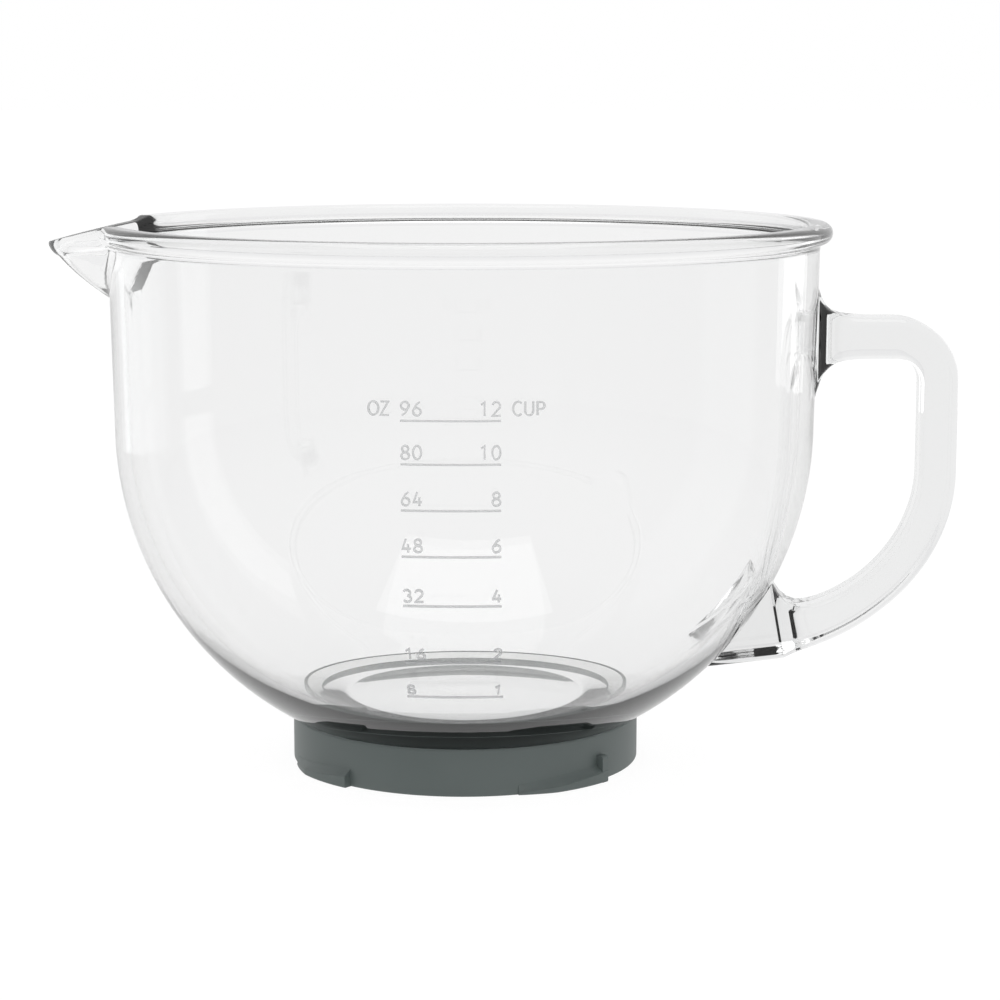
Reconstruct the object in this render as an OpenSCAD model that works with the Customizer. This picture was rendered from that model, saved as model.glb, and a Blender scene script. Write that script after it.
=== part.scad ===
// Glass mixing bowl with a pouring spout, a D handle, a moulded volume scale and a twist-lock plastic base.
// Origin: the bowl's axis at the plane that the base stands on. +Z is up, +X runs through the handle.

/* [Bowl] */
// Outer radius where the wall runs into the round bottom
wall_r = 110.5; // [109:0.5:112]
// How much further out the wall is at the rim
wall_flare = 1.2; // [0.6:0.1:1.8]
// Height where the wall runs into the round bottom
shoulder_z = 108; // [107:0.5:109]
// Outer radius of the round bottom's arc
bottom_arc_r = 106; // [105:0.5:107]
// Height of the rim's top edge
bowl_top = 172; // [170:0.5:174]
// Glass thickness at the top of the wall
wall_t = 4.4; // [4:0.1:4.8]
// Glass thickness at the heel, low on the round bottom
heel_t = 8; // [7.4:0.1:8.6]
// Height of the inside floor
floor_z = 18.8; // [18:0.1:19.5]
// Height of the flat under the glass
foot_z = 8; // [7.5:0.1:8.5]

/* [Rim] */
// Half the height of the rolled rim bead
bead_r = 3; // [2.6:0.1:3.2]
// How far the bead stands out of the wall
bead_out = 3.8; // [3.2:0.1:4.2]

/* [Spout] */
// How far the spout's tip stands out of the wall
spout_reach = 20; // [18:0.5:22]
// Half the angle that the spout takes out of the rim
spout_half_angle = 17; // [16:0.5:18]
// How far below the rim the spout begins
spout_depth = 25; // [23:0.5:27]
// How far the tip dips below the rim
spout_dip = 6; // [5:0.5:7]

/* [Handle] */
// Width of the handle across the grip
handle_w = 16.6; // [15:0.2:18]
// Thickness of the grip
grip_t = 11.6; // [11:0.2:12.6]
// Distance from the axis to the middle of the grip
grip_x = 149.8; // [148:0.2:152]
// Height of the top arm's centre line
top_arm_z = 135.8; // [134:0.2:137]

/* [Base] */
// Outer radius of the base ring
base_r = 55.5; // [55:0.25:56.5]
// Height of the base ring
base_h = 14.8; // [14.4:0.1:15]
// Thickness of the base ring's upright wall
skirt_t = 3.5; // [3.2:0.1:3.8]
// Number of bayonet ramps
ramp_count = 4; // [3:1:4]
// How far the ramps stand out of the ring
ramp_out = 2.6; // [2:0.1:3]

/* [Volume scale] */
// Height that the raised marks stand out of the glass
relief = 0.5; // [0.3:0.1:0.7]
// Height of a numeral
digit_h = 4.2; // [3.8:0.1:4.6]
// Width of a numeral's line
stroke_w = 0.55; // [0.4:0.05:0.7]
// Length of a level line along the wall
line_len = 28; // [26:1:30]

/* [Hidden] */

clear_glass = [0.86, 0.92, 0.93, 0.4];
relief_glass = [0.75, 0.8, 0.82, 0.7];
base_grey = [0.37, 0.42, 0.41];
seal_white = [0.82, 0.82, 0.8];

fine = 180;                               // facets of a full turn on round solids
arc_x = wall_r - bottom_arc_r;            // centre of the bottom's outer arc
heel_angle = 70;                          // how far round the bottom the heel is
heel_growth = 4;                          // the higher, the later the glass thickens on its way down
floor_blend = 1.5;                        // softness of the turn from the wall into the floor
rim_r = wall_r + wall_flare;              // wall radius under the rim
inner_rim_r = rim_r - wall_t;
bead_z = bowl_top - bead_r;
bead_x = rim_r + bead_out - bead_r;       // centre of the bead's round
rim_round = 2;                            // rounding of the rim's inside edge
embed = 0.05;                             // bite of the raised marks into the glass

// Radius of the outside wall at height z, and how far below level its normal points there
function outer_r(z) = z < shoulder_z ? arc_x + sqrt(pow(bottom_arc_r, 2) - pow(shoulder_z - z, 2))
    : wall_r + wall_flare * (z - shoulder_z) / (bowl_top - shoulder_z);
function droop(z) = z < shoulder_z ? asin((shoulder_z - z) / bottom_arc_r)
    : atan(wall_flare / (bowl_top - shoulder_z));

// ---------- glass bowl ----------

// Point at the angle a round the bottom, a depth d inside its outer arc
function bottom_point(a, d = 0) =
    [arc_x + (bottom_arc_r - d) * cos(a), shoulder_z - (bottom_arc_r - d) * sin(a)];
function glass_t(a) = wall_t + (heel_t - wall_t) * pow(a / heel_angle, heel_growth);
function above_floor(q) = [q[0], floor_z + floor_blend * ln(1 + exp((q[1] - floor_z) / floor_blend))];

module outer_section() {
    foot_angle = asin((shoulder_z - foot_z) / bottom_arc_r);
    steps = 26;
    polygon(concat([[0, bead_z], [rim_r, bead_z]],
        [for (i = [0 : steps]) bottom_point(foot_angle * i / steps)], [[0, foot_z]]));
}

module cavity_section() {
    polygon(concat([[0, bowl_top + 1], [inner_rim_r, bowl_top + 1]],
        [for (a = [0 : 2.8 : 84]) above_floor(bottom_point(a, glass_t(a)))], [[0, floor_z]]));
}

module rim_section() {
    translate([bead_x, bead_z]) circle(r = bead_r, $fn = 48);
    translate([inner_rim_r - 1, bead_z - bead_r]) square([bead_x - inner_rim_r + 1, 2 * bead_r - rim_round]);
    translate([inner_rim_r + rim_round, bead_z]) square([bead_x - inner_rim_r - rim_round, bead_r]);
    translate([inner_rim_r + rim_round, bowl_top - rim_round]) circle(r = rim_round, $fn = 32);
}

module bowl_turned() {
    rotate_extrude($fn = fine) difference() {
        union() {
            outer_section();
            rim_section();
        }
        cavity_section();
    }
}

spout_side = [-rim_r * cos(spout_half_angle), rim_r * sin(spout_half_angle)];
tip_r = 3.5;
spout_wall = 3.4;
tip_x = -(rim_r + spout_reach) + tip_r;
tip_z = bowl_top - spout_dip;

// The spout's body, drawn in by the wall thickness for its channel
module spout_form(inset, top) {
    side_r = 2;
    keel_z = bowl_top - spout_depth;
    hull() {
        translate([tip_x + inset * 1.25, 0, tip_z - 3.5 + inset])
            cylinder(r = max(tip_r - inset * 0.5, 1), h = top - tip_z + 3.5 - inset, $fn = 32);
        for (side = [-1, 1])
            translate([spout_side[0] + side_r + inset, side * (spout_side[1] - side_r - inset),
                       bowl_top - spout_depth * 0.45 + inset])
                cylinder(r = side_r, h = top - bowl_top + spout_depth * 0.45 - inset, $fn = 24);
        translate([tip_x + 6 + inset, 0, keel_z + 10.5 + inset * 1.1]) sphere(r = 2, $fn = 24);
        translate([-rim_r + 3 + inset, 0, keel_z + 1.6 + inset * 1.2]) sphere(r = 2, $fn = 24);
    }
}

// Everything above the spout's lip, which falls from the rim to the tip
module above_lip() {
    lip_start = -rim_r - 1;
    lip_z = bowl_top - 0.8;
    rotate([90, 0, 0]) translate([0, 0, -60]) linear_extrude(height = 120)
        polygon([[lip_start + 14, lip_z], [lip_start, lip_z],
                 [tip_x - tip_r - 2, tip_z - 1], [tip_x - tip_r - 2, bowl_top + 20],
                 [lip_start + 14, bowl_top + 20]]);
}

module glass_bowl() {
    color(clear_glass) difference() {
        union() {
            bowl_turned();
            difference() {
                spout_form(0, bowl_top);
                above_lip();
                translate([0, 0, foot_z]) cylinder(r = inner_rim_r + wall_t * 0.4, h = 200, $fn = fine);
            }
        }
        spout_form(spout_wall, bowl_top + 10);
    }
}

// ---------- handle ----------

corner_r = 14;          // bend between the top arm and the grip
low_x = 88;             // the lower bend is part of an ellipse about this point
low_z = 93.5;
low_drop = 53.6;
low_reach = grip_x - low_x;
end_drop = 80;          // angle where the lower bend gives way to a straight run into the wall
arm_t = 13;             // thickness of the arms next to the wall
root_flare = 9;         // swelling of the roots where they meet the wall, and how fast it fades
root_fall = 3.2;
edge_r = 2.6;           // rounding of the handle's four long edges
top_wall_x = 111;
low_wall_x = 102;

function swell(d) = min(root_flare * exp(-d / root_fall), root_flare * 1.4);
function low_point(a) = [low_x + low_reach * cos(a), low_z - low_drop * sin(a)];

// Centre line of the handle in the XZ plane, from the top arm down to the lower root, as
// [x, z, direction, thickness, extra outside, extra inside]
handle_line = concat(
    [for (x = concat([104], [for (i = [0 : 6]) top_wall_x - 1 + i * (1.4 + i * 0.36)]))
        let (e = swell(x - top_wall_x)) [x, top_arm_z, 0, arm_t, e, e]],
    [for (a = [0 : 9 : 90]) [grip_x - corner_r + corner_r * sin(a),
        top_arm_z - corner_r + corner_r * cos(a), -a, arm_t + (grip_t - arm_t) * a / 90, 0, 0]],
    [for (z = [112, 102]) [grip_x, z, -90, grip_t, 0, 0]],
    [for (a = concat([for (a = [0 : 6 : 66]) a], [69, 72, 74.5, 77, end_drop]))
        let (q = low_point(a)) [q[0], q[1], -90 - atan2(low_reach * sin(a), low_drop * cos(a)),
            grip_t + (a > 48 ? (a - 48) / 18 : 0), 0, swell(q[0] - low_wall_x)]],
    [for (run = [9, 18, 26]) let (q = low_point(end_drop))
        [q[0] - run, q[1] - run * 0.12, -173, arm_t + 0.4, 0, swell(-run)]]);

// Rounded rectangle of the grip as points, w across and t thick
function rounded(w, t, r, n = 5) = [for (q = [0 : 3], i = [0 : n - 1])
    let (a = q * 90 + i * 90 / (n - 1), sx = (q == 0 || q == 3) ? 1 : -1, sy = q < 2 ? 1 : -1)
    [sx * (w / 2 - r) + r * cos(a), sy * (t / 2 - r) + r * sin(a)]];

function handle_ring(i) = let (p = handle_line[i], shift = (p[4] - p[5]) / 2)
    [for (q = rounded(handle_w + max(p[4], p[5]) * 0.5, p[3] + p[4] + p[5], edge_r))
        [p[0] - (q[1] + shift) * sin(p[2]), q[0], p[1] + (q[1] + shift) * cos(p[2])]];

module swept_handle() {
    rings = len(handle_line);
    sides = len(handle_ring(0));
    polyhedron(
        points = [for (i = [0 : rings - 1]) each handle_ring(i)],
        faces = concat(
            [[for (k = [0 : sides - 1]) k]],
            [[for (k = [sides - 1 : -1 : 0]) (rings - 1) * sides + k]],
            [for (i = [0 : rings - 2], k = [0 : sides - 1])
                let (m = (k + 1) % sides)
                [i * sides + k, (i + 1) * sides + k, (i + 1) * sides + m, i * sides + m]]),
        convexity = 6);
}

module handle() {
    color(clear_glass) difference() {
        swept_handle();
        rotate_extrude($fn = fine) outer_section();
    }
}

// ---------- volume scale ----------

// Level lines as [height, ounces, cups], from the inside volume at that height
levels = [[122.8, "96", "12"], [110.5, "80", "10"], [97.4, "64", "8"], [83.9, "48", "6"],
          [68.9, "32", "4"], [50.5, "16", "2"], [38.2, "8", "1"]];
digit_w = digit_h * 0.62;
digit_pitch = digit_w + 0.75;
baseline = 1.3;         // gap between a line and the numerals above it

// A plane that touches the wall at height z, s along it from the scale's middle, with +Z out of the glass
module on_wall(s, z) {
    rotate([0, 0, s / outer_r(z) * 180 / PI]) translate([0, -outer_r(z), z])
        rotate([90 + droop(z), 0, 0]) children();
}

function oval(cx, cy, rx, ry, a0, a1, n = 14) =
    [for (i = [0 : n]) let (a = a0 + (a1 - a0) * i / n) [cx + rx * cos(a), cy + ry * sin(a)]];

// Glyphs on a 0.62 by 1 cell, as strokes of points; a stroke whose ends meet is a loop
function glyph(c) =
    c == "0" ? [oval(.31, .5, .27, .46, 0, 360)] :
    c == "1" ? [[[.1, .78], [.33, .95], [.33, .03]]] :
    c == "2" ? [concat(oval(.31, .7, .25, .26, 165, -35, 9), [[.05, .04], [.59, .04]])] :
    c == "3" ? [oval(.29, .73, .23, .23, 150, -80, 9), oval(.29, .27, .27, .24, 85, -150, 9)] :
    c == "4" ? [[[.44, .03], [.44, .6]], [[.3, .97], [.06, .28], [.6, .28]]] :
    c == "6" ? [oval(.31, .3, .26, .26, 0, 360), [[.5, .95], [.3, .8], [.08, .42]]] :
    c == "8" ? [oval(.31, .27, .26, .23, 0, 360), oval(.31, .74, .21, .21, 0, 360)] :
    c == "9" ? [oval(.31, .7, .26, .26, 0, 360), [[.12, .05], [.32, .2], [.54, .58]]] :
    c == "O" ? [oval(.36, .5, .34, .46, 0, 360)] :
    c == "Z" ? [[[.06, .95], [.58, .95], [.06, .05], [.6, .05]]] :
    c == "C" ? [oval(.38, .5, .34, .46, 50, 310)] :
    c == "U" ? [concat([[.05, .96]], oval(.32, .33, .27, .29, 180, 360, 10), [[.59, .96]])] :
    c == "P" ? [[[.08, .03], [.08, .97]], concat([[.1, .9]], oval(.34, .67, .22, .23, 90, -90, 8), [[.1, .44]])] : [];

function turn(v) = [-v[1], v[0]] / max(norm(v), 1e-6);
function is_loop(p) = norm(p[0] - p[len(p) - 1]) < 1e-6;
// Unit normal of a stroke at point i, averaged over its two sides and stretched at a corner
function corner(p, i) = let (n = len(p), loop = is_loop(p),
        before = i > 0 ? p[i - 1] : loop ? p[n - 2] : p[0] - (p[1] - p[0]),
        after = i < n - 1 ? p[i + 1] : loop ? p[1] : p[n - 1] + (p[n - 1] - p[n - 2]),
        a = turn(p[i] - before), b = turn(after - p[i]), m = (a + b) / max(norm(a + b), 1e-6))
    m / max(m * a, 0.55);

module stroke(p, w) {
    left = [for (i = [0 : len(p) - 1]) p[i] + corner(p, i) * w / 2];
    right = [for (i = [0 : len(p) - 1]) p[i] - corner(p, i) * w / 2];
    if (is_loop(p)) difference() {
        polygon([for (i = [0 : len(p) - 2]) right[i]]);
        polygon([for (i = [0 : len(p) - 2]) left[i]]);
    }
    else polygon(concat(left, [for (i = [len(p) - 1 : -1 : 0]) right[i]]));
}

module word(chars, s, z) {
    for (i = [0 : len(chars) - 1])
        on_wall(s + i * digit_pitch + digit_w / 2, z + (baseline + digit_h / 2) * cos(droop(z)))
            translate([-digit_w / 2, -digit_h / 2, -embed]) linear_extrude(height = relief + embed)
                for (p = glyph(chars[i]))
                    stroke([for (q = p) q * digit_h], stroke_w);
}

function word_len(t) = (len(t) - 1) * digit_pitch + digit_w;

module level_lines() {
    color(relief_glass) for (level = levels) {
        half_turn = line_len / 2 / outer_r(level[0]) * 180 / PI;
        rotate([0, 0, -90 - half_turn]) rotate_extrude(angle = 2 * half_turn, $fn = fine)
            translate([outer_r(level[0]), level[0]]) rotate(-droop(level[0]))
                translate([-embed, -stroke_w / 2]) square([embed + relief, stroke_w]);
    }
}

module ounce_numerals() {
    color(relief_glass) for (level = levels) word(level[1], -line_len / 2, level[0]);
}

module cup_numerals() {
    color(relief_glass) for (level = levels) word(level[2], line_len / 2 - word_len(level[2]), level[0]);
}

letter_gap = 3.2;
module unit_letters() {
    color(relief_glass) {
        word("OZ", -line_len / 2 - letter_gap - word_len("OZ"), levels[0][0]);
        word("CUP", line_len / 2 + letter_gap, levels[0][0]);
    }
}

// ---------- base ----------

seal_t = 0.5;           // gap between the ring's sloped seat and the glass, which the seal fills
seal_in = 49;           // radius where the seal's inner lip ends under the glass
seal_end = 54.2;        // radius where the seal ends at the top
edge_round = 0.8;

// Height of the surface that lies under the glass with a gap
function under_glass(r, gap) = shoulder_z - sqrt(pow(bottom_arc_r + gap, 2) - pow(r - arc_x, 2));
function seat_line(radii, gap) = [for (r = radii) [r, under_glass(r, gap)]];

module ring_section() {
    seat_out = base_r - edge_round;
    skirt_in = base_r - skirt_t;
    polygon(concat(
        [[skirt_in, 0.5], [skirt_in + 0.5, 0], [base_r - 0.6, 0], [base_r, 0.6], [base_r, base_h - edge_round]],
        [for (a = [15 : 15 : 75]) [seat_out + edge_round * cos(a), base_h - edge_round + edge_round * sin(a)]],
        seat_line([seat_out - 0.2, skirt_in + 1.6, skirt_in + 0.8, skirt_in], seal_t)));
}

ramp_span = 33;
ramp_end = 52;          // angle from the front to the first ramp's tall end
ramp_low = 1.1;
ramp_high = 3.8;
ramp_slope = 1.7;       // the ramp's top falls by this much from the ring to its outer edge
ramp_steps = 12;
stop_h = 8.4;
stop_angle = 2.6;

// One ramp: a wedge round the ring that grows in height to its tall end
module ramp() {
    root = base_r - 0.8;
    function face(i) = let (t = i / ramp_steps, a = ramp_end - ramp_span * (1 - t) - 90,
            h = ramp_low + (ramp_high - ramp_low) * t, reach = base_r + ramp_out * min(1, 0.25 + 2 * t))
        [for (q = [[root, 0], [reach, 0], [reach, h], [root, h + ramp_slope]])
            [q[0] * cos(a), q[0] * sin(a), q[1]]];
    polyhedron(
        points = [for (i = [0 : ramp_steps]) each face(i)],
        faces = concat([[3, 2, 1, 0]], [[for (k = [0 : 3]) ramp_steps * 4 + k]],
            [for (i = [0 : ramp_steps - 1], k = [0 : 3]) let (m = (k + 1) % 4)
                [i * 4 + m, (i + 1) * 4 + m, (i + 1) * 4 + k, i * 4 + k]]));
}

// The upright stop at a ramp's tall end
module stop() {
    rotate([0, 0, ramp_end - stop_angle - 90]) rotate_extrude(angle = stop_angle, $fn = fine)
        translate([base_r - 0.8, 0]) square([ramp_out + 0.8, stop_h]);
}

module bayonet_base() {
    color(base_grey) {
        rotate_extrude($fn = fine) ring_section();
        for (i = [0 : ramp_count - 1]) rotate([0, 0, i * 360 / ramp_count]) {
            ramp();
            if (i % 2 == 0) stop();
        }
    }
}

// Thin ring between the seat and the glass
module foot_seal() {
    color(seal_white) rotate_extrude($fn = fine) polygon(concat(
        seat_line([seal_in, 50, 51, 52, 53, seal_end], seal_t),
        seat_line([seal_end, 53, 52, 51, 50, seal_in], 0)));
}

glass_bowl();
handle();
level_lines();
ounce_numerals();
cup_numerals();
unit_letters();
bayonet_base();
foot_seal();
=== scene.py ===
import math

import bpy
import bmesh
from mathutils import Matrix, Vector


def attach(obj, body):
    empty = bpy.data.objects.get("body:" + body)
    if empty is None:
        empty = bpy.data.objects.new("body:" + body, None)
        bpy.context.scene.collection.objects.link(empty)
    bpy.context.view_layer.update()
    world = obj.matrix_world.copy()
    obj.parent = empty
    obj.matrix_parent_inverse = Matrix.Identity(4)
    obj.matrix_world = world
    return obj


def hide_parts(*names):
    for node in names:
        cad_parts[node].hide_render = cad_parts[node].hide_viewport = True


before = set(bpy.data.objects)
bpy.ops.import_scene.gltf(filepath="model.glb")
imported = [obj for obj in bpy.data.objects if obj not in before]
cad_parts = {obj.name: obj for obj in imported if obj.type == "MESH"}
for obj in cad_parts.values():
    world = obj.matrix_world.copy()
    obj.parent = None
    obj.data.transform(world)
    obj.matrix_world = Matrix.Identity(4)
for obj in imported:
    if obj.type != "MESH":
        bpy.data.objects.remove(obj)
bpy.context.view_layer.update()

# ---------------------------------------------------------------- sizes, in mm as in the CAD source

MM = 0.001
ARC_X, ARC_Z, ARC_R = 4.5, 108.0, 106.0          # outside arc of the round bottom
WALL_R, WALL_FLARE, TOP = 110.5, 1.2, 172.0
WALL_T, HEEL_T, HEEL_ANGLE, HEEL_GROWTH = 4.4, 8.0, 70.0, 4.0
FLOOR_Z, FLOOR_BLEND = 18.8, 1.5
BEAD_R, BEAD_X, BEAD_Z = 3.0, 112.46, 169.0
FOOT_Z = 8.0
FOOT_R = ARC_X + math.sqrt(ARC_R ** 2 - (ARC_Z - FOOT_Z) ** 2)

SPOUT_LOW, SPOUT_RISE, SPOUT_REACH = 147.0, 18.5, 19.1
SPOUT_ALPHA = math.radians(39.8)                  # normal of the spout's sides from its middle, in plan
SPOUT_ROUND = math.radians(1.8)
SPOUT_T = 3.3


def outer_r(z):
    if z < ARC_Z:
        return ARC_X + math.sqrt(max(ARC_R ** 2 - (ARC_Z - z) ** 2, 0))
    return WALL_R + WALL_FLARE * (z - ARC_Z) / (TOP - ARC_Z)


def inner_r(z):
    """Radius of the inside wall above the round bottom."""
    return outer_r(z) - WALL_T


def inner_point(a):
    """Point of the inside wall at the angle a round the bottom, where the glass thickens to its heel."""
    deep = ARC_R - WALL_T - (HEEL_T - WALL_T) * (a / HEEL_ANGLE) ** HEEL_GROWTH
    z = ARC_Z - deep * math.sin(math.radians(a))
    if z < FLOOR_Z + 20 * FLOOR_BLEND:
        z = FLOOR_Z + FLOOR_BLEND * math.log1p(math.exp((z - FLOOR_Z) / FLOOR_BLEND))
    return ARC_X + deep * math.cos(math.radians(a)), z


def lerp(a, b, t):
    return a + (b - a) * t


def clamp(v, low=0.0, high=1.0):
    return max(low, min(high, v))


def smooth(a, b, v):
    t = clamp((v - a) / (b - a))
    return t * t * (3 - 2 * t)


def soft_max(a, b, k):
    if abs(a - b) > 12 * k:
        return max(a, b)
    return k * math.log(math.exp(a / k) + math.exp(b / k)) if max(a, b) / k < 300 else \
        max(a, b) + k * math.log1p(math.exp(-abs(a - b) / k))


def arc(cx, cz, r, a0, a1, n):
    return [(cx + r * math.cos(math.radians(lerp(a0, a1, i / n))),
             cz + r * math.sin(math.radians(lerp(a0, a1, i / n)))) for i in range(n + 1)]


def line(p, q, n):
    return [(lerp(p[0], q[0], i / n), lerp(p[1], q[1], i / n)) for i in range(1, n)]


# ---------------------------------------------------------------- mesh helpers

def make_object(name, verts, faces, smooth_angle=None):
    mesh = bpy.data.meshes.new(name)
    mesh.from_pydata(verts, [], faces)
    mesh.validate()
    bm = bmesh.new()
    bm.from_mesh(mesh)
    bmesh.ops.remove_doubles(bm, verts=bm.verts, dist=1e-7)
    bmesh.ops.recalc_face_normals(bm, faces=bm.faces)
    bm.to_mesh(mesh)
    bm.free()
    for poly in mesh.polygons:
        poly.use_smooth = True
    if smooth_angle is not None:
        mesh.set_sharp_from_angle(angle=math.radians(smooth_angle))
    obj = bpy.data.objects.new(name, mesh)
    bpy.context.scene.collection.objects.link(obj)
    return obj


def lathe(profile, angles, place=None):
    """Vertices and faces of a closed profile turned about Z; profile is [(r, z, ...)] in mm."""
    verts, faces = [], []
    n, m = len(angles), len(profile)
    for th in angles:
        c, s = math.cos(th), math.sin(th)
        for p in profile:
            r, z = place(p, th) if place else (p[0], p[1])
            verts.append((r * c * MM, r * s * MM, z * MM))
    for i in range(n):
        j = (i + 1) % n
        for k in range(m - 1):
            if profile[k][0] < 1e-9 and profile[k + 1][0] < 1e-9:
                continue
            faces.append((i * m + k, j * m + k, j * m + k + 1, i * m + k + 1))
    return verts, faces


def even_angles(n):
    return [2 * math.pi * i / n for i in range(n)]


def apply_boolean(obj, other, operation):
    mod = obj.modifiers.new("join", "BOOLEAN")
    mod.operation = operation
    mod.solver = "MANIFOLD"
    mod.object = other
    deps = bpy.context.evaluated_depsgraph_get()
    mesh = bpy.data.meshes.new_from_object(obj.evaluated_get(deps))
    obj.modifiers.clear()
    old = obj.data
    name = old.name
    obj.data = mesh
    bpy.data.meshes.remove(old)
    mesh.name = name
    return obj


def drop(obj):
    mesh = obj.data
    bpy.data.objects.remove(obj)
    bpy.data.meshes.remove(mesh)


def set_smooth(obj, angle):
    for poly in obj.data.polygons:
        poly.use_smooth = True
    obj.data.set_sharp_from_angle(angle=math.radians(angle))


# ---------------------------------------------------------------- glass: bowl with rim and spout

def keel(z):
    u = clamp((z - SPOUT_LOW) / SPOUT_RISE)
    return 111.9 + SPOUT_REACH * (1 - (1 - u) ** 1.45)


def spout_plane(d, z, inset):
    """Distance from the axis to the spout's side at the angle d from its middle."""
    bent = math.sqrt(d * d + SPOUT_ROUND ** 2)
    p = keel(z) * math.cos(SPOUT_ROUND - SPOUT_ALPHA) - inset
    if z < SPOUT_LOW + inset * 1.3:
        p -= (SPOUT_LOW + inset * 1.3 - z) * 1.2
    return p / math.cos(bent - SPOUT_ALPHA)


def place_bowl(p, th):
    r, z, s = p
    d = abs(math.atan2(math.sin(th - math.pi), math.cos(th - math.pi)))
    if z < 138 or d > 0.62:
        return r, z
    top = spout_plane(d, 166, 0) - outer_r(166)
    share = clamp(top / 20)
    fall = 1.0 * smooth(-0.5, 2.5, top) + 5.6 * share
    z2 = z if z < SPOUT_LOW else SPOUT_LOW + (z - SPOUT_LOW) * (TOP - fall - SPOUT_LOW) / (TOP - SPOUT_LOW)
    bead = r - lerp(outer_r(z), inner_r(z), s)
    bead *= 1 - 0.72 * smooth(-0.8, 1.2, top)
    ro = soft_max(outer_r(z2), spout_plane(d, z2, 0), 0.5)
    ri = soft_max(inner_r(z2), spout_plane(d, z2, SPOUT_T), 0.9)
    return lerp(ro, ri, s) + bead, z2


def bowl_profile():
    foot_angle = math.degrees(math.asin((ARC_Z - FOOT_Z) / ARC_R))
    pts = [(0, FOOT_Z)] + line((0, FOOT_Z), (FOOT_R - 1.2, FOOT_Z), 14)
    pts += [(FOOT_R - 1.2, FOOT_Z), (FOOT_R - 0.5, FOOT_Z + 0.03), (FOOT_R + 0.2, FOOT_Z + 0.14)]
    pts += arc(ARC_X, ARC_Z, ARC_R, -(foot_angle - 0.6), 0, 70)
    pts += [(outer_r(z), z) for z in (112, 117, 122, 127, 132, 137, 141, 144, 147, 149, 151, 153, 155, 157,
                                      159, 160.6, 162, 163.2, 164.1)]
    wall = [(r, z, 0.0) for r, z in pts]
    wall += [(r, z, 0.0) for r, z in arc(111.66 + 1.2, 164.8, 1.2, 180, 94.9, 5)]
    wall += [(r, z, 0.0) for r, z in arc(BEAD_X, BEAD_Z, BEAD_R, -85.1, 90, 20)[1:]]
    rim_in = inner_r(TOP)
    top_flat = line((BEAD_X, TOP), (rim_in + 2, TOP), 4) + arc(rim_in + 2, TOP - 2, 2, 90, 180, 8)
    wall += [(r, z, (BEAD_X - r) / (BEAD_X - rim_in)) for r, z in top_flat]
    inner = [(inner_r(z), z) for z in (169, 167.6, 166, 164, 162, 160, 158, 156, 154, 152, 150, 148, 146, 143,
                                       140, 136, 132, 128, 124, 120, 116, 112)]
    inner += [inner_point(a) for a in [1.5 * i for i in range(40)] + [60 + 0.4 * i for i in range(66)]]
    inner += [(6, FLOOR_Z + 0.01), (3, FLOOR_Z), (0, FLOOR_Z)]
    wall += [(r, z, 1.0) for r, z in inner]
    return wall


def spout_angles():
    """Columns round the axis, finer across the spout."""
    fine, wide = math.radians(0.32), math.radians(1.2)
    reach = math.radians(22)
    n = round(2 * reach / fine)
    left = [math.pi - reach + 2 * reach * i / n for i in range(n + 1)]
    rest = 2 * math.pi - 2 * reach
    m = round(rest / wide)
    return left + [math.pi + reach + rest * i / m for i in range(1, m)]


bowl = make_object("bowl_glass", *lathe(bowl_profile(), spout_angles(), place_bowl))

# ---------------------------------------------------------------- glass: handle

GRIP_X, GRIP_T, ARM_T, HANDLE_W = 149.8, 11.6, 13.0, 16.6
ARM_Z, BEND_R = 135.8, 14.0
LOW_X, LOW_Z, LOW_DROP = 88.0, 93.5, 53.6
LOW_REACH = GRIP_X - LOW_X
ROOT_FLARE, ROOT_FALL = 9.0, 3.2
EDGE_R = 2.6


def swell(d):
    return min(ROOT_FLARE * math.exp(-d / ROOT_FALL), ROOT_FLARE * 1.4)


def handle_stations():
    """Centre line as (x, z, direction in degrees, thickness, extra outside, extra inside)."""
    out = []
    for i in range(26):
        x = 105 + 0.35 * i + 0.032 * i * i
        out.append((x, ARM_Z, 0, ARM_T, swell(x - 111), swell(x - 111)))
    last = GRIP_X - BEND_R
    for i in range(1, 4):
        out.append((lerp(out[25][0], last, i / 4), ARM_Z, 0, ARM_T, 0.05, 0.05))
    for i in range(25):
        a = 90 * i / 24
        out.append((last + BEND_R * math.sin(math.radians(a)), ARM_Z - BEND_R + BEND_R * math.cos(math.radians(a)),
                    -a, lerp(ARM_T, GRIP_T, a / 90), 0, 0))
    for z in (118, 114, 110, 106, 102, 98):
        out.append((GRIP_X, z, -90, GRIP_T, 0, 0))
    for i in range(47):
        a = 80 * i / 46 if i < 40 else lerp(80 * 40 / 46, 80, (i - 40) / 6)
        ar = math.radians(a)
        x, z = LOW_X + LOW_REACH * math.cos(ar), LOW_Z - LOW_DROP * math.sin(ar)
        turn = -90 - math.degrees(math.atan2(LOW_REACH * math.sin(ar), LOW_DROP * math.cos(ar)))
        out.append((x, z, turn, GRIP_T + max(0, (a - 48) / 18), 0, swell(x - 102)))
    x, z = out[-1][0], out[-1][1]
    for run in (4, 8, 12, 17, 22, 26):
        out.append((x - run, z - run * 0.12, -173, ARM_T + 0.4, 0, swell(-run)))
    return out


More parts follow.
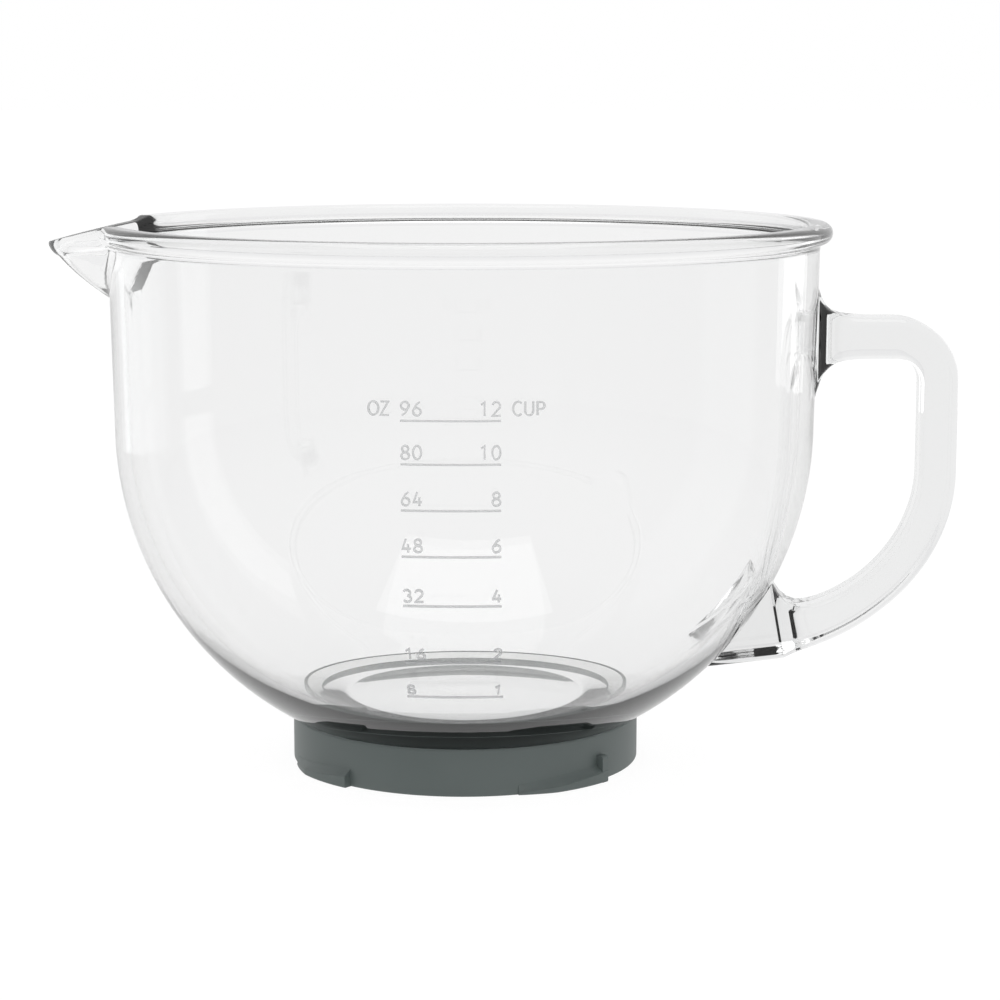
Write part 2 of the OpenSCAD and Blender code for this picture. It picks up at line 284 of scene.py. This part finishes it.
def rounded_section(w, t, r):
    pts = []
    for q in range(4):
        sx, sy = (1, 1, -1, -1)[q], (1, 1, -1, -1)[q]
        sx = 1 if q in (0, 3) else -1
        sy = 1 if q < 2 else -1
        for i in range(8):
            a = math.radians(q * 90 + 90 * i / 7)
            pts.append((sx * (w / 2 - r) + r * math.cos(a), sy * (t / 2 - r) + r * math.sin(a)))
        # the flats between corners get two more points, so that their shading stays even
        nx, ny = ((-1, 1), (-1, -1), (1, -1), (1, 1))[q]
        q2 = (q + 1) % 4
        ex = (1 if q2 in (0, 3) else -1) * (w / 2 - r) + r * math.cos(math.radians((q + 1) * 90))
        ey = (1 if q2 < 2 else -1) * (t / 2 - r) + r * math.sin(math.radians((q + 1) * 90))
        for k in (0.06, 0.5, 0.94):
            pts.append((lerp(pts[q * 11 + 7][0], ex, k), lerp(pts[q * 11 + 7][1], ey, k)))
    return pts


def handle_mesh():
    verts, faces = [], []
    stations = handle_stations()
    for x, z, turn, t, e_out, e_in in stations:
        shift = (e_out - e_in) / 2
        wide = HANDLE_W + 2.0 * 0.45 * max(e_out, e_in)
        a = math.radians(turn)
        for u, v in rounded_section(wide, t + e_out + e_in, EDGE_R):
            verts.append(((x - (v + shift) * math.sin(a)) * MM, u * MM, (z + (v + shift) * math.cos(a)) * MM))
    n = len(verts) // len(stations)
    for i in range(len(stations) - 1):
        for k in range(n):
            m = (k + 1) % n
            faces.append((i * n + k, (i + 1) * n + k, (i + 1) * n + m, i * n + m))
    faces.append(tuple(range(n)))
    faces.append(tuple((len(stations) - 1) * n + k for k in range(n - 1, -1, -1)))
    return verts, faces


handle = make_object("handle_blank", *handle_mesh())
mid_wall = [(0, 6)] + [(outer_r(z) - 2.0, z) for z in range(14, 171, 2)] + [(0, 170)]
core = make_object("core_blank", *lathe(mid_wall, even_angles(240)))
apply_boolean(handle, core, "DIFFERENCE")
apply_boolean(bowl, handle, "UNION")
drop(handle)
drop(core)
set_smooth(bowl, 38)

# ---------------------------------------------------------------- base ring, ramps and seal

BASE_R, BASE_H, SKIRT_T, SEAL_T = 55.5, 14.8, 3.5, 0.5
SEAL_IN, SEAL_END = 49.0, 54.2


def under_glass(r, gap):
    """Height of the surface that lies under the glass with a gap."""
    return ARC_Z - math.sqrt((ARC_R + gap) ** 2 - (r - ARC_X) ** 2)


def seat_line(r0, r1, gap, n):
    return [(r, under_glass(r, gap)) for r in (lerp(r0, r1, i / n) for i in range(n + 1))]


def base_profile():
    """Section of the base ring: a band whose top slopes under the glass."""
    skirt_in, edge = BASE_R - SKIRT_T, 0.35
    pts = line((skirt_in, under_glass(skirt_in, SEAL_T) - 2 * edge), (skirt_in, 0.5), 6)
    pts += arc(skirt_in + 0.4, 0.4, 0.4, 180, 270, 4) + line((skirt_in + 0.5, 0), (BASE_R - 0.6, 0), 3)
    pts += arc(BASE_R - 0.6, 0.6, 0.6, -90, 0, 5) + line((BASE_R, 0.7), (BASE_R, BASE_H - 0.8), 8)
    pts += arc(BASE_R - 0.7, BASE_H - 0.7, 0.7, 0, 120, 9)
    pts += seat_line(BASE_R - 1.5, skirt_in + 2 * edge, SEAL_T, 6)
    pts += arc(skirt_in + edge, under_glass(skirt_in + edge, SEAL_T) - 1.3 * edge, edge, 105, 180, 5)
    return pts + [pts[0]]


def seal_profile():
    """Thin ring that fills the gap between the seat and the glass, with a rounded edge at either end."""
    skin = 0.03
    r = SEAL_T / 2 - skin
    pts = arc(SEAL_IN, under_glass(SEAL_IN, SEAL_T / 2), r, 120, 290, 6)
    pts += seat_line(SEAL_IN + 0.3, SEAL_END, SEAL_T - skin, 6)
    pts += arc(SEAL_END, under_glass(SEAL_END, SEAL_T / 2), r, -60, 110, 5)
    pts += seat_line(SEAL_END - 0.2, SEAL_IN + 0.3, skin, 6)
    return pts + [pts[0]]


def ramp_mesh(turn, with_stop):
    """A wedge round the ring's foot that grows to its tall end, with an upright stop on two of the four."""
    end, span, low, high, slope, out = 52, 33, 1.1, 3.8, 1.7, 2.6
    verts, faces = [], []
    steps, root = 40, BASE_R - 0.8
    for i in range(steps + 1):
        t = i / steps
        a = math.radians(end - span * (1 - t) - 90 + turn)
        h = lerp(low, high, t)
        reach = BASE_R + out * min(1, 0.25 + 2 * t)
        rim = [(root, 0.02), (reach - 0.3, 0.02), (reach, 0.32), (reach, h - 0.3), (reach - 0.3, h),
               (BASE_R + 0.35, h + slope * 0.75), (BASE_R + 0.05, h + slope * 1.1), (root, h + slope * 1.3)]
        for r, z in rim:
            verts.append((r * math.cos(a) * MM, r * math.sin(a) * MM, z * MM))
    n = 8
    for i in range(steps):
        for k in range(n):
            m = (k + 1) % n
            faces.append((i * n + k, (i + 1) * n + k, (i + 1) * n + m, i * n + m))
    faces.append(tuple(range(n - 1, -1, -1)))
    faces.append(tuple(steps * n + k for k in range(n)))
    if with_stop:
        first = len(verts)
        wide, tall = 2.6, 8.4
        for k, (r, z) in enumerate([(root, 0.03), (BASE_R + 2.5, 0.03), (BASE_R + 2.5, tall - 0.7),
                                    (BASE_R + 1.9, tall), (root, tall)]):
            for a in (0, wide):
                b = math.radians(end - wide + a - 90 + turn)
                verts.append((r * math.cos(b) * MM, r * math.sin(b) * MM, z * MM))
        m = 5
        for k in range(m):
            q = (k + 1) % m
            faces.append((first + 2 * k, first + 2 * k + 1, first + 2 * q + 1, first + 2 * q))
        faces.append(tuple(first + 2 * k for k in range(m)))
        faces.append(tuple(first + 2 * k + 1 for k in range(m - 1, -1, -1)))
    return verts, faces


base = make_object("base_ring", *lathe(base_profile(), even_angles(256)))
for i in range(4):
    ramp = make_object("ramp_blank", *ramp_mesh(i * 90, i % 2 == 0))
    apply_boolean(base, ramp, "UNION")
    drop(ramp)
set_smooth(base, 32)

seal = make_object("foot_gasket", *lathe(seal_profile(), even_angles(256)), smooth_angle=40)

# ---------------------------------------------------------------- materials

FLOOR_SEEN, FLOOR_LIT = 0.93, 0.82                # glow of the floor to the camera, and to everything else

def new_material(name):
    mat = bpy.data.materials.new(name)
    mat.use_nodes = True
    tree = mat.node_tree
    bsdf = tree.nodes["Principled BSDF"]
    return mat, tree, bsdf, tree.nodes["Material Output"]


def add(tree, kind, **values):
    node = tree.nodes.new(kind)
    for key, value in values.items():
        if key in node.inputs:
            node.inputs[key].default_value = value
        else:
            setattr(node, key, value)
    return node


def noise_bump(tree, bsdf, scale, strength, distance, detail=2.0, texture=None):
    coord = add(tree, "ShaderNodeTexCoord")
    noise = texture or add(tree, "ShaderNodeTexNoise", Scale=scale, Detail=detail)
    tree.links.new(coord.outputs["Object"], noise.inputs["Vector"])
    bump = add(tree, "ShaderNodeBump", Strength=strength, Distance=distance)
    tree.links.new(noise.outputs[0], bump.inputs["Height"])
    tree.links.new(bump.outputs["Normal"], bsdf.inputs["Normal"])
    return coord, noise, bump


def glass_material():
    mat, tree, bsdf, out = new_material("clear_glass")
    bsdf.inputs["Base Color"].default_value = (1.0, 1.0, 1.0, 1)
    bsdf.inputs["Roughness"].default_value = 0.0
    bsdf.inputs["IOR"].default_value = 1.5
    bsdf.inputs["Transmission Weight"].default_value = 1.0
    noise_bump(tree, bsdf, 16.0, 0.06, 0.002, 1.0)
    absorb = add(tree, "ShaderNodeVolumeAbsorption", Color=(0.5, 0.51, 0.51, 1), Density=12.0)
    tree.links.new(absorb.outputs[0], out.inputs["Volume"])
    return mat


def relief_shade_material():
    mat, tree, bsdf, out = new_material("relief_glass")
    # the marks' grey is painted shade, standing in for light that the sides of the clear glass relief bend away
    bsdf.inputs["Base Color"].default_value = (0.55, 0.56, 0.57, 1)
    bsdf.inputs["Roughness"].default_value = 0.25
    bsdf.inputs["IOR"].default_value = 1.45
    coord, noise, bump = noise_bump(tree, bsdf, 900.0, 0.2, 0.0001)
    clear = add(tree, "ShaderNodeBsdfTransparent", Color=(1, 1, 1, 1))
    # painted shade: the marks turn greyer where they turn edge-on, and stay mostly clear where they face straight
    # on
    facing = add(tree, "ShaderNodeLayerWeight", Blend=0.35)
    ramp = add(tree, "ShaderNodeMapRange")
    ramp.inputs["From Min"].default_value = 0.0
    ramp.inputs["From Max"].default_value = 0.8
    ramp.inputs["To Min"].default_value = 0.32
    ramp.inputs["To Max"].default_value = 0.75
    tree.links.new(facing.outputs["Facing"], ramp.inputs["Value"])
    mix = add(tree, "ShaderNodeMixShader")
    tree.links.new(ramp.outputs["Result"], mix.inputs[0])
    tree.links.new(clear.outputs[0], mix.inputs[1])
    tree.links.new(bsdf.outputs[0], mix.inputs[2])
    tree.links.new(mix.outputs[0], out.inputs["Surface"])
    return mat


def plastic_material():
    mat, tree, bsdf, out = new_material("base_plastic")
    bsdf.inputs["Roughness"].default_value = 0.42
    bsdf.inputs["IOR"].default_value = 1.46
    coord, noise, bump = noise_bump(tree, bsdf, 1400.0, 0.12, 0.00008, 3.0)
    cloud = add(tree, "ShaderNodeTexNoise", Scale=22.0, Detail=3.0)
    tree.links.new(coord.outputs["Object"], cloud.inputs["Vector"])
    ramp = add(tree, "ShaderNodeValToRGB")
    ramp.color_ramp.elements[0].position = 0.3
    ramp.color_ramp.elements[0].color = (0.088, 0.108, 0.104, 1)
    ramp.color_ramp.elements[1].position = 0.7
    ramp.color_ramp.elements[1].color = (0.102, 0.122, 0.118, 1)
    tree.links.new(cloud.outputs[0], ramp.inputs["Fac"])
    tree.links.new(ramp.outputs["Color"], bsdf.inputs["Base Color"])
    rough = add(tree, "ShaderNodeMapRange")
    rough.inputs["To Min"].default_value = 0.38
    rough.inputs["To Max"].default_value = 0.52
    tree.links.new(cloud.outputs[0], rough.inputs["Value"])
    tree.links.new(rough.outputs["Result"], bsdf.inputs["Roughness"])
    return mat


def seal_glow_material():
    mat, tree, bsdf, out = new_material("seal_silicone")
    bsdf.inputs["Roughness"].default_value = 0.55
    # painted light: the seal glows faintly, standing in for light that would reach it through the glass bottom
    bsdf.inputs["Emission Color"].default_value = (1.0, 1.0, 0.99, 1)
    bsdf.inputs["Emission Strength"].default_value = 0.3
    coord, noise, bump = noise_bump(tree, bsdf, 700.0, 0.15, 0.0001, 2.0)
    ramp = add(tree, "ShaderNodeValToRGB")
    ramp.color_ramp.elements[0].color = (0.86, 0.87, 0.86, 1)
    ramp.color_ramp.elements[1].color = (0.94, 0.94, 0.93, 1)
    tree.links.new(noise.outputs[0], ramp.inputs["Fac"])
    tree.links.new(ramp.outputs["Color"], bsdf.inputs["Base Color"])
    return mat


def floor_material():
    mat, tree, bsdf, out = new_material("studio_floor")
    bsdf.inputs["Base Color"].default_value = (0.1, 0.1, 0.1, 1)
    bsdf.inputs["Emission Color"].default_value = (1, 1, 1, 1)
    bsdf.inputs["Roughness"].default_value = 0.9
    bsdf.inputs["Specular IOR Level"].default_value = 0.0
    path = add(tree, "ShaderNodeLightPath")
    glow = add(tree, "ShaderNodeMapRange")
    glow.inputs["To Min"].default_value = FLOOR_LIT
    glow.inputs["To Max"].default_value = FLOOR_SEEN
    tree.links.new(path.outputs["Is Camera Ray"], glow.inputs["Value"])
    tree.links.new(glow.outputs["Result"], bsdf.inputs["Emission Strength"])
    return mat


def paint(obj, mat):
    obj.data.materials.clear()
    obj.data.materials.append(mat)
    for poly in obj.data.polygons:
        poly.material_index = 0


glass, relief, plastic, silicone = glass_material(), relief_shade_material(), plastic_material(), seal_glow_material()
paint(bowl, glass)
paint(base, plastic)
paint(seal, silicone)

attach(bowl, "root")
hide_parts("glass_bowl", "handle")
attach(base, "root")
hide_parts("bayonet_base")
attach(seal, "root")
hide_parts("foot_seal")

# the level marks and numerals get the partly clear material whose grey is painted shade
for node in ("level_lines", "ounce_numerals", "cup_numerals", "unit_letters"):
    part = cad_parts[node]
    for slot in range(max(1, len(part.material_slots))):
        if part.material_slots:
            part.material_slots[slot].material = relief
        else:
            part.data.materials.append(relief)

# ---------------------------------------------------------------- studio

floor_half = 14.0
floor = make_object("floor", [(-floor_half, -floor_half, 0), (floor_half, -floor_half, 0),
                              (floor_half, floor_half, 0), (-floor_half, floor_half, 0)], [(0, 1, 2, 3)])
floor.data.materials.append(floor_material())


def area_light(name, place, target, size, power, colour=(1, 1, 1)):
    data = bpy.data.lights.new(name, "AREA")
    data.shape = "RECTANGLE"
    data.size, data.size_y = size
    data.energy = power
    data.color = colour
    lamp = bpy.data.objects.new(name, data)
    lamp.location = place
    lamp.rotation_euler = (Vector(target) - Vector(place)).to_track_quat("-Z", "Y").to_euler()
    lamp.visible_camera = False
    bpy.context.scene.collection.objects.link(lamp)
    return lamp


area_light("key_left", (-0.465, 0.235, 0.27), (-0.09, -0.06, 0.2), (0.35, 0.5), 0.1, (0.95, 0.98, 1.0))
area_light("strip_right", (0.46, 0.30, 0.30), (0.1, -0.04, 0.22), (0.2, 0.5), 0.18)
area_light("top", (0.0, -0.2, 1.3), (0, 0, 0), (1.0, 1.0), 3.0)

world = bpy.data.worlds.new("studio")
bpy.context.scene.world = world
world.use_nodes = True
tree = world.node_tree
tree.nodes.clear()
out = tree.nodes.new("ShaderNodeOutputWorld")
seen = tree.nodes.new("ShaderNodeBackground")
seen.inputs["Color"].default_value = (1, 1, 1, 1)
seen.inputs["Strength"].default_value = 1.0
lit = tree.nodes.new("ShaderNodeBackground")
lit.inputs["Strength"].default_value = 1.0
where = tree.nodes.new("ShaderNodeTexCoord")
split = tree.nodes.new("ShaderNodeSeparateXYZ")
dome = tree.nodes.new("ShaderNodeValToRGB")
dome.color_ramp.elements[0].position = 0.02
dome.color_ramp.elements[0].color = (0.86, 0.86, 0.865, 1)
dome.color_ramp.elements[1].position = 0.3
dome.color_ramp.elements[1].color = (0.98, 0.98, 0.98, 1)
tree.links.new(where.outputs["Generated"], split.inputs[0])
tree.links.new(split.outputs["Z"], dome.inputs["Fac"])
tree.links.new(dome.outputs["Color"], lit.inputs["Color"])
path = tree.nodes.new("ShaderNodeLightPath")
mix = tree.nodes.new("ShaderNodeMixShader")
tree.links.new(path.outputs["Is Camera Ray"], mix.inputs[0])
tree.links.new(lit.outputs[0], mix.inputs[1])
tree.links.new(seen.outputs[0], mix.inputs[2])
tree.links.new(mix.outputs[0], out.inputs["Surface"])

# ---------------------------------------------------------------- camera

cam_data = bpy.data.cameras.new("camera")
cam_data.lens = 96.81
cam_data.sensor_width = 36.0
camera = bpy.data.objects.new("camera", cam_data)
camera.location = (0.0305, -0.8503, 0.2189)
camera.rotation_euler = (math.radians(80.92), 0, math.radians(1.3))
bpy.context.scene.collection.objects.link(camera)
bpy.context.scene.camera = camera
bpy.context.scene.view_settings.view_transform = "Standard"
bpy.context.scene.view_settings.look = "None"
